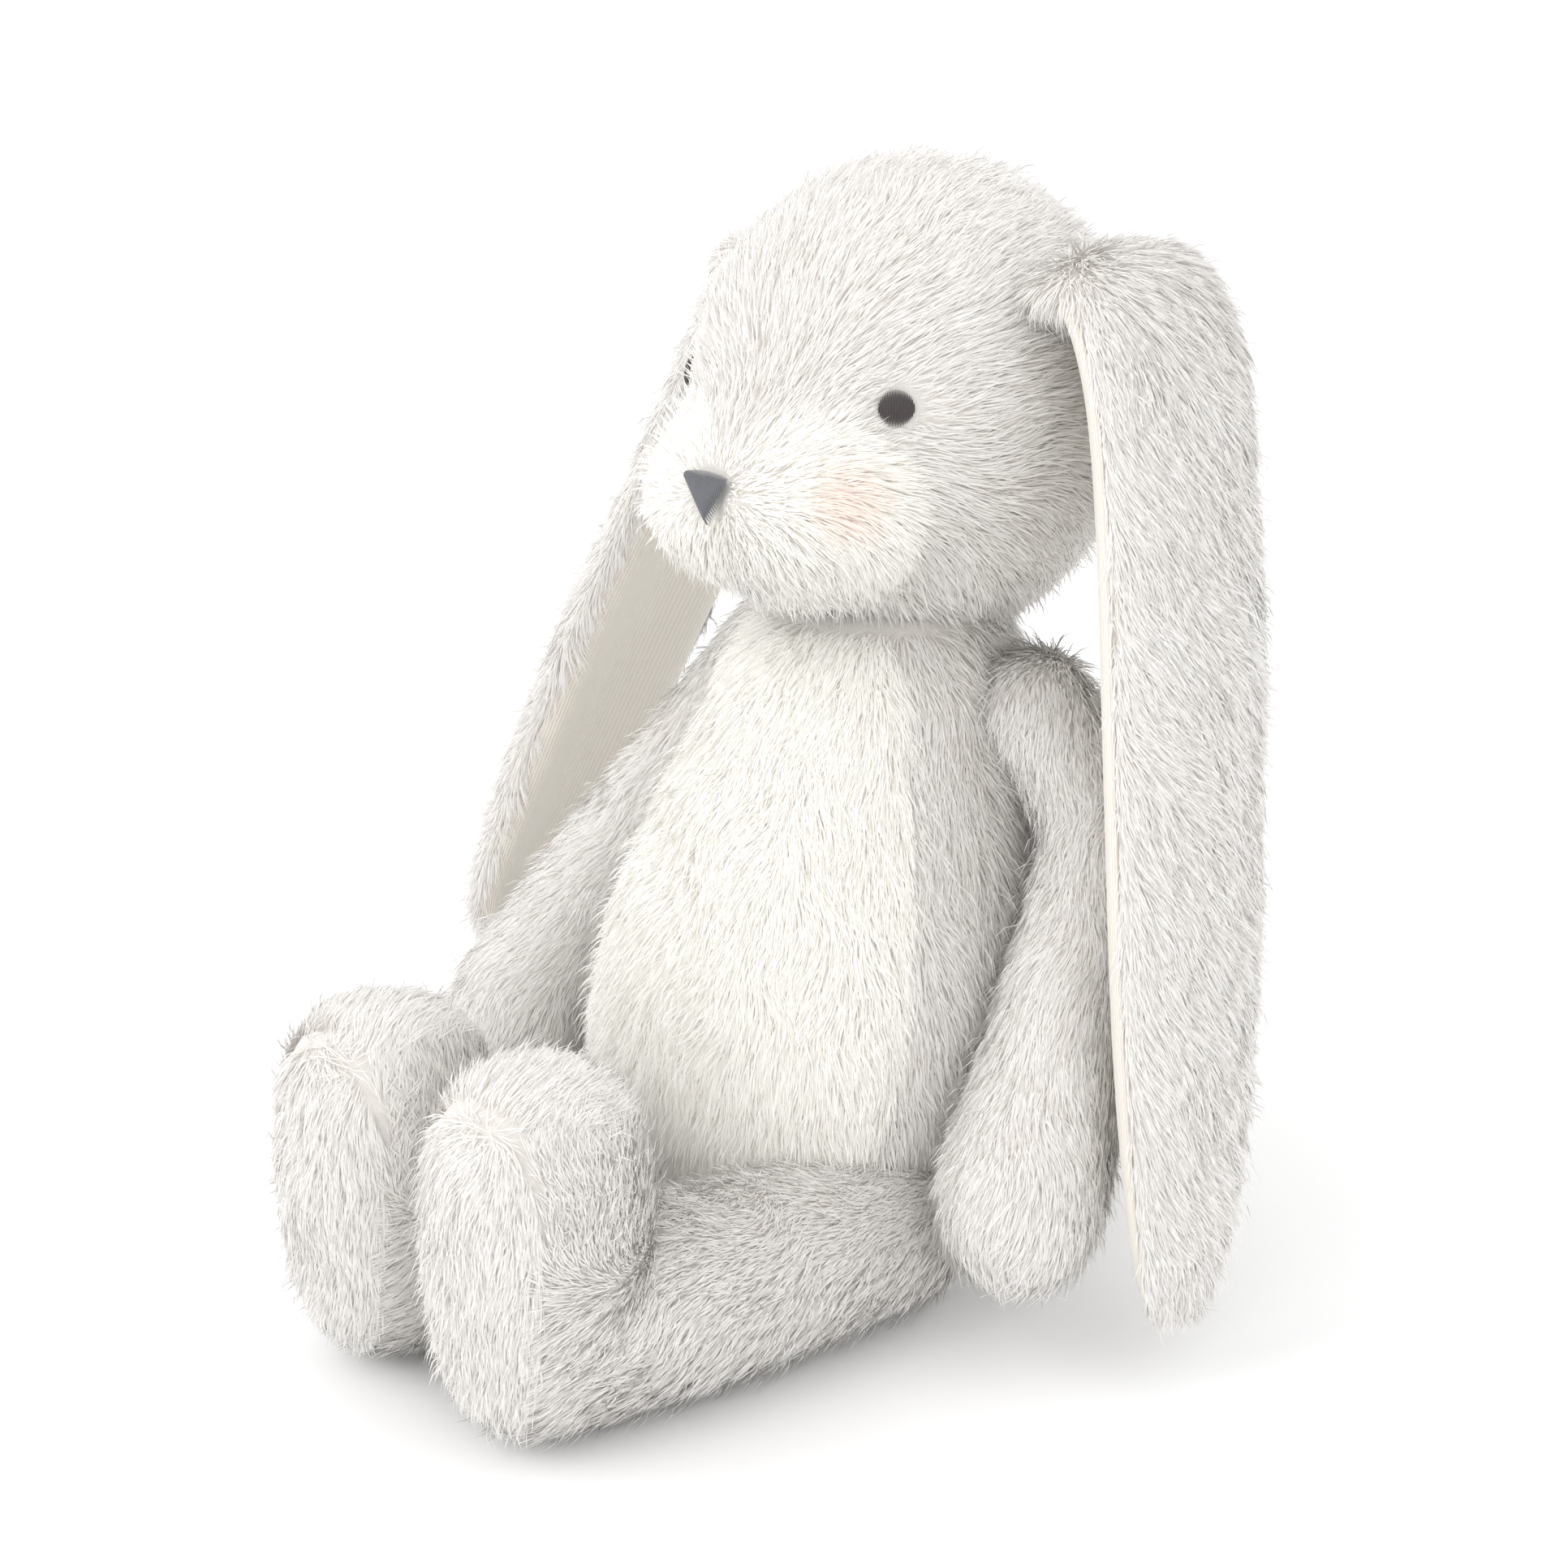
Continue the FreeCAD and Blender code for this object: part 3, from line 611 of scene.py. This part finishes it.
def eye_middle(sign):
    """Where an eye sits on the head's skin."""
    direction = unit(np.array([EYE_SIDE * sign, EYE_FORWARD, EYE_HEIGHT]) * MM - HEAD_MIDDLE)
    return head_point(direction[None])[0]


def trim_head(points):
    """Length of the fur on the head: short round the eyes and the nose, full at the crown."""
    gap = np.minimum(*[inside_ball(points, eye_middle(sign), MM) for sign in (1, -1)])
    nose_gap = inside_ball(points, middle("nose"), MM)
    return (0.4 + 0.6 * smooth_step(3, 17, gap)) * (0.45 + 0.55 * smooth_step(4, 26, nose_gap))


def build_head():
    """The head's skin, its grey fur and the white fur of the muzzle."""
    skin = head_skin()
    finished(skin, GREY_SKIN, "grey_fur", "head", "head_cover", "head_stuffing")

    def grey_wanted(points):
        """All but the muzzle patch."""
        return off_face(points) * (1 - muzzle_share(points))

    def white_wanted(points):
        """The muzzle patch."""
        return off_face(points) * muzzle_share(points)

    grey = fur("head_fur", skin, 66000, comb_head, 31, wanted=grey_wanted, trim=trim_head)
    finished(grey, GREY_FUR, "grey_fur", "head")
    white = fur("muzzle_fur", skin, 40000, comb_head, 32, pile=8.5 * MM, wanted=white_wanted,
                trim=trim_head)
    finished(white, WHITE_FUR, "white_fur", "head", "muzzle_panel")


# ---------------------------------------------------------------- ears

EAR_ROUTES = {
    "left": [
        (46, 42, 250), (60, 43, 253), (73, 41, 236), (83, 36, 200),
        (97, 24, 145), (110, 11, 85), (116, 5, 40), (117, 3, 19),
    ],
    "right": [
        (46, 44, 248), (58, 50, 247), (68, 51, 229), (86, 43, 186),
        (104, 31, 141), (116, 14, 95), (121, 0, 66), (121, -4, 52),
    ],
}
EAR_HALF_WIDTHS = np.array([20, 24, 26, 25.5, 25, 22, 16.5, 13])[:, None] * MM
EAR_HALF_THICKNESSES = np.array([5, 8, 9, 9.2, 9.2, 8.6, 7, 5])[:, None] * MM


def ear_rings(side, sign):
    """An ear: a flattened ring carried along a route, its inner side pressed into a channel."""
    share = np.linspace(0, 1, 150)
    path = along(np.array(EAR_ROUTES[side]) * np.array([sign, 1, 1]) * MM, share)
    width, thickness = along(EAR_HALF_WIDTHS, share), along(EAR_HALF_THICKNESSES, share)
    close = np.sqrt(np.clip(1 - share ** 14, 0, 1))[:, None] + 0.02
    fore, out = frame_along(path)
    out = out * sign
    turn = np.linspace(0, 2 * math.pi, 72, endpoint=False)
    a, b = np.cos(turn), np.sin(turn)
    pressed = np.where(b < 0, np.clip(1 - (a / 0.8) ** 2, 0, 1) ** 1.5, 0)
    channel = 0.95 * smooth_step(0.12, 0.3, share)[:, None] * pressed
    outward = thickness * close * (b + channel)
    forward = width * close * a
    rings = path[:, None] + fore[:, None] * forward[..., None] + out[:, None] * outward[..., None]
    return rings, turn


def build_ear(side, sign):
    """An ear's skin, its velour lining and the fur that grows round the lining.

    The lining's flat size is measured on the strip of the skin that it covers.
    """
    rings, turn = ear_rings(side, sign)
    skin = wrapped(f"ear_{side}_skin", rings)
    finished(skin, GREY_SKIN, "grey_fur", f"ear_{side}", f"ear_{side}_back")
    faces_body = np.sin(turn) < -0.3
    if side == "left":
        faces_body |= (np.cos(turn) < -0.7) & (np.sin(turn) < 0.12)
    lining_columns = np.nonzero(faces_body)[0]
    rows = np.arange(26, 143)
    sheet = rings[rows][:, lining_columns]
    lining = lining_sheet(side, sign, sheet)
    finished(lining, VELOUR, "velour_lining", f"ear_{side}", f"ear_{side}_lining")
    allowed = np.ones(rings.shape[:2])
    allowed[rows[0] + 1:rows[-1], lining_columns[0] + 1:lining_columns[-1]] = 0
    allowed = np.append(allowed.reshape(-1), (0, 1))

    def comb(points, normals):
        """Fur combed down the ear and back from its front edge."""
        return -UP + 0.25 * sign * RIGHT_TO_LEFT + 0.3 * BACK

    grey = fur(f"ear_{side}_fur", skin, 60000, comb, 41 + sign, allowed=allowed, pile=8.5 * MM)
    finished(grey, GREY_FUR, "grey_fur", f"ear_{side}")


def lining_sheet(side, sign, sheet):
    """The velour lining: part of the ear's inner side, a cloth's thickness deep, hemmed all round."""
    rows, columns, _ = sheet.shape
    down, across = np.gradient(sheet, axis=0), np.gradient(sheet, axis=1)
    normal = unit(np.cross(down, across)) * -sign
    outer = sheet + normal * 0.9 * MM
    under = sheet - normal * 0.4 * MM
    points = np.vstack([outer.reshape(-1, 3), under.reshape(-1, 3)])
    row, column = np.meshgrid(np.arange(rows - 1), np.arange(columns - 1), indexing="ij")
    start = row * columns + column
    top = np.stack([start, start + 1, start + columns + 1, start + columns], -1).reshape(-1, 4)
    if sign > 0:
        top = top[:, ::-1]
    count = rows * columns
    low = top[:, ::-1] + count
    index = np.arange(count).reshape(rows, columns)
    rim = np.concatenate([index[0, :], index[1:, -1], index[-1, -2::-1], index[-2:0:-1, 0]])
    following = np.roll(rim, -1)
    sides = np.stack([rim, rim + count, following + count, following], 1)
    if sign > 0:
        sides = sides[:, ::-1]
    piece = mesh_object(f"ear_{side}_lining_cloth", points, top.tolist() + low.tolist() + sides.tolist())
    layer = piece.data.uv_layers.new(name="weave")
    corner = np.empty(len(piece.data.loops), np.int32)
    piece.data.loops.foreach_get("vertex_index", corner)
    flat = corner % count
    step_down = np.linalg.norm(down, axis=2).mean()
    step_across = np.linalg.norm(across, axis=2).mean()
    uv = np.stack([flat % columns * step_across, flat // columns * step_down], 1) * 10
    layer.data.foreach_set("uv", uv.reshape(-1).astype(np.float32))
    return piece


# ---------------------------------------------------------------- arms, legs and tail

def limb(name, path, radii, reference=BACK, rows=90, columns=64):
    """A closed limb: circles carried along a path, with round ends."""
    share = 0.5 - 0.5 * np.cos(np.linspace(0.02, math.pi - 0.02, rows))
    route, radius = along(path, share), along(radii, share)
    fore, out = frame_along(route, reference)
    turn = np.linspace(0, 2 * math.pi, columns, endpoint=False)
    ring = fore[:, None] * np.cos(turn)[None, :, None] + out[:, None] * np.sin(turn)[None, :, None]
    return wrapped(name, route[:, None] + ring * radius[:, None])


def rounded(points, radii):
    """A path drawn out at both ends, with radii that close it with round ends."""
    points, radii = np.asarray(points, float), np.asarray(radii, float)
    first = unit(points[0] - points[1])
    last = unit(points[-1] - points[-2])
    caps = (1.0, 0.86, 0.5)
    start = [points[0] + first * radii[0] * cap for cap in caps]
    end = [points[-1] + last * radii[-1] * cap for cap in caps[::-1]]
    opening = [radii[0] * math.sqrt(1 - cap ** 2) for cap in caps]
    closing = [radii[-1] * math.sqrt(1 - cap ** 2) for cap in caps[::-1]]
    path = np.vstack([start, points, end])
    sizes = np.concatenate([opening, radii, closing])[:, None]
    return path, sizes


ELBOWS = {"left": np.array([66, 33, 120]) * MM, "right": np.array([-66, 30, 120]) * MM}


def build_arm(side, sign):
    """An arm, from the shoulder by the elbow and wrist to the hand."""
    shoulder = JOINTS[f"arm_{side}_swing"]
    hand = middle(f"arm_{side}_beads") + np.array([0, 0, 8]) * MM
    elbow = ELBOWS[side]
    down = unit(hand - elbow)
    wrist = elbow * 0.45 + hand * 0.55 + np.array([sign * 2, 0, 0]) * MM
    points = [shoulder, elbow, wrist, hand, hand + down * 9 * MM]
    path, radii = rounded(points, np.array([14, 14.5, 16, 19, 18.5]) * MM)
    skin = limb(f"arm_{side}_skin", path, radii)
    finished(skin, GREY_SKIN, "grey_fur", f"arm_{side}", f"arm_{side}_cover",
             f"arm_{side}_stuffing", f"arm_{side}_beads")

    def comb(points, normals):
        """Fur combed from the elbow to the hand, and a little outwards."""
        return down + 0.1 * normals

    grey = fur(f"arm_{side}_fur", skin, 46000, comb, 51 + sign, wanted=outside_torso, pile=8.5 * MM)
    finished(grey, GREY_FUR, "grey_fur", f"arm_{side}")


def outside_torso(points):
    """0 deep inside the torso."""
    height = np.interp(points[:, 2], TORSO_PROFILE[:, 1], TORSO_PROFILE[:, 0])
    back = np.interp(points[:, 2], TORSO_PROFILE[:, 1], TORSO_PROFILE[:, 2])
    radial = np.hypot(points[:, 0], points[:, 1] - back)
    return (radial > height - 5 * MM).astype(float)


SOLE_SEAM = -134 * MM


def build_leg(side, sign):
    """A leg: a thigh that lies forward and an upright foot, joined into one skin."""
    hip = JOINTS[f"leg_{side}_lift"]
    foot = middle(f"leg_{side}_beads")
    knee = hip * 0.5 + foot * 0.5 + np.array([sign * 3, 0, 0]) * MM
    path, radii = rounded([hip, knee, foot], np.array([20, 22.3, 23]) * MM)
    thigh = limb(f"leg_{side}_skin", path, radii, reference=UP)
    toe = foot + np.array([0, 0, 41]) * MM
    sole_path, sole_radii = rounded([foot + np.array([0, 0, 1]) * MM, foot * 0.5 + toe * 0.5, toe],
                                    np.array([23.5, 25.5, 24.5]) * MM)
    upright = limb(f"leg_{side}_foot", sole_path, sole_radii)
    skin = joined_skin(f"leg_{side}_skin", [thigh, upright], 1.6 * MM)
    finished(skin, GREY_SKIN, "grey_fur", f"leg_{side}", f"leg_{side}_cover", f"leg_{side}_sole",
             f"leg_{side}_stuffing", f"leg_{side}_beads")
    run = unit(foot - hip)

    def comb(points, normals):
        """Fur combed along the thigh, then up the foot to the toes; the sole is combed down."""
        upwards = smooth_step(0.035, 0.06, points[:, 2])[:, None]
        front = (points[:, 1] < SOLE_SEAM).astype(float)[:, None]
        over = smooth_step(0.075, 0.092, points[:, 2])[:, None]
        way = run * (1 - upwards) + UP * upwards * 0.6 - UP * 0.35 * (1 - upwards)
        way = way * (1 - front) - UP * front
        return way * (1 - over) + BACK * over + 0.1 * normals

    def wanted(points):
        """Fur outside the torso, parted along the seam round the sole."""
        upright = points[:, 1] < -112 * MM
        seam = np.abs(points[:, 1] - SOLE_SEAM - 0.8 * MM * Ripple(13, 30 * MM).at(points)[:, 0])
        return outside_torso(points) * ~(upright & (seam < 0.7 * MM))

    grey = fur(f"leg_{side}_fur", skin, 64000, comb, 61 + sign, wanted=wanted, pile=7.5 * MM)
    finished(grey, GREY_FUR, "grey_fur", f"leg_{side}")


def build_neck():
    """The round neck between the torso and the head."""
    path, radii = rounded([NECK - 0.5 * MM * UP, NECK + 0.5 * MM * UP], np.array([16.5, 16.5]) * MM)
    skin = limb("neck_skin", path, radii, rows=32, columns=40)
    finished(skin, GREY_SKIN, "grey_fur", "neck", "neck_stuffing")


def build_tail():
    """The round tail, with longer-standing fur."""
    centre = middle("tail_cover")
    path, radii = rounded([centre - 0.5 * MM * UP, centre + 0.5 * MM * UP], np.array([16, 16]) * MM)
    skin = limb("tail_skin", path, radii, rows=40, columns=48)
    finished(skin, GREY_SKIN, "grey_fur", "tail", "tail_cover", "tail_stuffing")

    def comb(points, normals):
        """Fur combed straight back and a little down."""
        return BACK - 0.4 * UP + 0 * points

    grey = fur("tail_fur", skin, 18000, comb, 71, lift=0.42)
    finished(grey, GREY_FUR, "grey_fur", "tail")


# ---------------------------------------------------------------- embroidery and label

def stitched(name, outline, centre, across, upright, outwards, rise, threads):
    """Satin stitch: threads side by side, each an arched tube from edge to edge of an outline.

    outline(share) gives the low and high end of each thread as shares across the patch.
    """
    share = (np.arange(threads) + 0.5) / threads * 2 - 1
    low, high, half = outline(share)
    t = np.linspace(0, 1, 9)
    arch = np.sqrt(np.clip(1 - (2 * t - 1) ** 2, 0, 1))
    spread = high[:, None] - low[:, None]
    centre_line = (centre + across * (share * half)[:, None, None]
                   + upright * (low[:, None] + spread * t)[..., None]
                   + outwards * (rise * arch * (1 - 0.55 * share[:, None] ** 2))[..., None])
    thick = half / threads * 1.15
    turn = np.linspace(0, 2 * math.pi, 6, endpoint=False)
    ring = across * np.cos(turn)[:, None] + outwards * np.sin(turn)[:, None]
    taper = (0.35 + 0.65 * arch)[:, None, None]
    points = centre_line[:, :, None] + thick * taper * ring
    count, rows, columns = points.shape[:3]
    index = np.arange(count * rows * columns).reshape(count, rows, columns)
    turned = np.roll(index, -1, axis=2)
    quads = np.stack([index[:, :-1], turned[:, :-1], turned[:, 1:], index[:, 1:]], -1).reshape(-1, 4)
    caps = index[:, 0, ::-1].tolist() + index[:, -1].tolist()
    return mesh_object(name, points.reshape(-1, 3), quads.tolist() + caps)


def build_face():
    """Two round eyes and a nose, a triangle with its point down, in satin stitch."""
    for side, sign in SIDES.items():
        centre = eye_middle(sign)
        outwards = unit((centre - SKULL) / SKULL_RADII ** 2)
        upright = unit(UP - outwards * outwards[2])
        across = np.cross(upright, outwards)
        radius = 4.3 * MM

        def round_eye(share):
            """A circle: half its height at each share of the way across."""
            half = radius * np.sqrt(1 - share ** 2)
            return -half, half, radius

        eye = stitched(f"eye_{side}_stitches", round_eye, centre + outwards * 1.2 * MM, across, upright,
                       outwards, 1.9 * MM, 22)
        finished(eye, EYE_THREAD, "eye_thread", "head", f"eye_{side}")
    _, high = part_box("nose")
    centre = np.array([0, high.y - 1.2 * MM, high.z])
    width, drop = 7.2 * MM, 13 * MM

    def triangle(share):
        """A nearly level top edge, and a lower edge that falls to a point in the middle."""
        top = np.full(share.shape, 0.0) - 0.8 * MM * share ** 2
        return -drop * (1 - np.abs(share)) - 2.0 * MM * np.abs(share) - 0.4 * MM, top, width

    across, upright, outwards = np.array([1.0, 0, 0]), UP, -BACK
    nose = stitched("nose_stitches", triangle, centre, across, upright, outwards, 1.8 * MM, 30)
    finished(nose, NOSE_THREAD, "nose_thread", "head", "nose")


def build_label():
    """The blank care label: a folded tape's outline carried up its height with a wave.

    The outline is a long loop with a half circle at the fold.  It is one closed slab that stands
    for both layers, without the faces between them; the tape of a real label would be cut to about
    twice the slab's length.
    """
    length, height, half = 24 * MM, 14 * MM, 0.55 * MM
    share = np.linspace(0, 1, 41)
    bend = np.linspace(0.5 * math.pi, -0.5 * math.pi, 9)
    reach = np.concatenate([share * (length - half), length - half + half * np.cos(bend)[1:-1],
                            share[::-1] * (length - half)])
    aside = np.concatenate([np.full(41, half), half * np.sin(bend)[1:-1], np.full(41, -half)])
    rise = np.linspace(0, height, 25)
    phase = reach[None, :] / (7 * MM) + rise[:, None] / (11 * MM)
    wave = 1.1 * MM * np.sin(phase) * (reach[None, :] / length)
    turned = math.radians(25)
    outwards = np.array([math.sin(turned), math.cos(turned), 0.0])
    sideways = np.array([math.cos(turned), -math.sin(turned), 0.0])
    rings = (np.array([24.4, 46, 72]) * MM + outwards * reach[None, :, None]
             + sideways * (aside[None, :] + wave)[..., None]
             + UP * np.broadcast_to(rise[:, None, None], wave.shape + (1,)))
    label = wrapped("care_label_tape", rings)
    finished(label, TAPE, "label_tape", "torso", "care_label")


# ---------------------------------------------------------------- floor, light and camera

def build_studio():
    """A plain pale floor, a bright even sky, one large soft key light and a fill."""
    corners = np.array([(-60, -60, 0), (60, -60, 0), (60, 60, 0), (-60, 60, 0)], float)
    floor = mesh_object("floor", corners, [(0, 1, 2, 3)])
    shader = Shader("floor_paper", roughness=0.9)
    shader.surface.inputs["Base Color"].default_value = (0.96, 0.96, 0.96, 1)
    floor.data.materials.append(shader.material)
    world = bpy.data.worlds.new("studio")
    bpy.context.scene.world = world
    world.use_nodes = True
    world.node_tree.nodes["Background"].inputs["Color"].default_value = (1.0, 1.0, 1.0, 1)
    world.node_tree.nodes["Background"].inputs["Strength"].default_value = 1.16
    lamps = (
        ("key", (-0.7, -1.1, 1.3), 1.4, 9.0),
        ("fill", (1.4, -0.8, 0.7), 1.4, 4.0),
    )
    for name, place, size, power in lamps:
        lamp = bpy.data.lights.new(name, "AREA")
        lamp.size, lamp.energy = size, power
        holder = bpy.data.objects.new(name, lamp)
        holder.location = place
        aim = Vector((0, 0, 0.13)) - Vector(place)
        holder.rotation_euler = aim.to_track_quat("-Z", "Y").to_euler()
        bpy.context.scene.collection.objects.link(holder)


def build_camera():
    """The camera: in front of the toy and to its left, a little above, aimed at its middle."""
    target = Vector((0.006, -0.018, 0.130))
    around, above, distance = math.radians(45), math.radians(18), 0.700
    level = math.cos(above)
    away = Vector((math.sin(around) * level, -math.cos(around) * level, math.sin(above)))
    lens = bpy.data.cameras.new("camera")
    lens.sensor_width = 36
    lens.lens = 64.57
    camera = bpy.data.objects.new("camera", lens)
    camera.location = target + away * distance
    camera.rotation_euler = (-away).to_track_quat("-Z", "Y").to_euler()
    bpy.context.scene.collection.objects.link(camera)
    bpy.context.scene.camera = camera
    bpy.context.scene.view_settings.view_transform = "Standard"


def build():
    """The whole scene, in a fixed order."""
    build_studio()
    build_camera()
    build_torso()
    build_head()
    build_neck()
    build_tail()
    for side, sign in SIDES.items():
        build_ear(side, sign)
        build_arm(side, sign)
        build_leg(side, sign)
    build_face()
    build_label()


build()
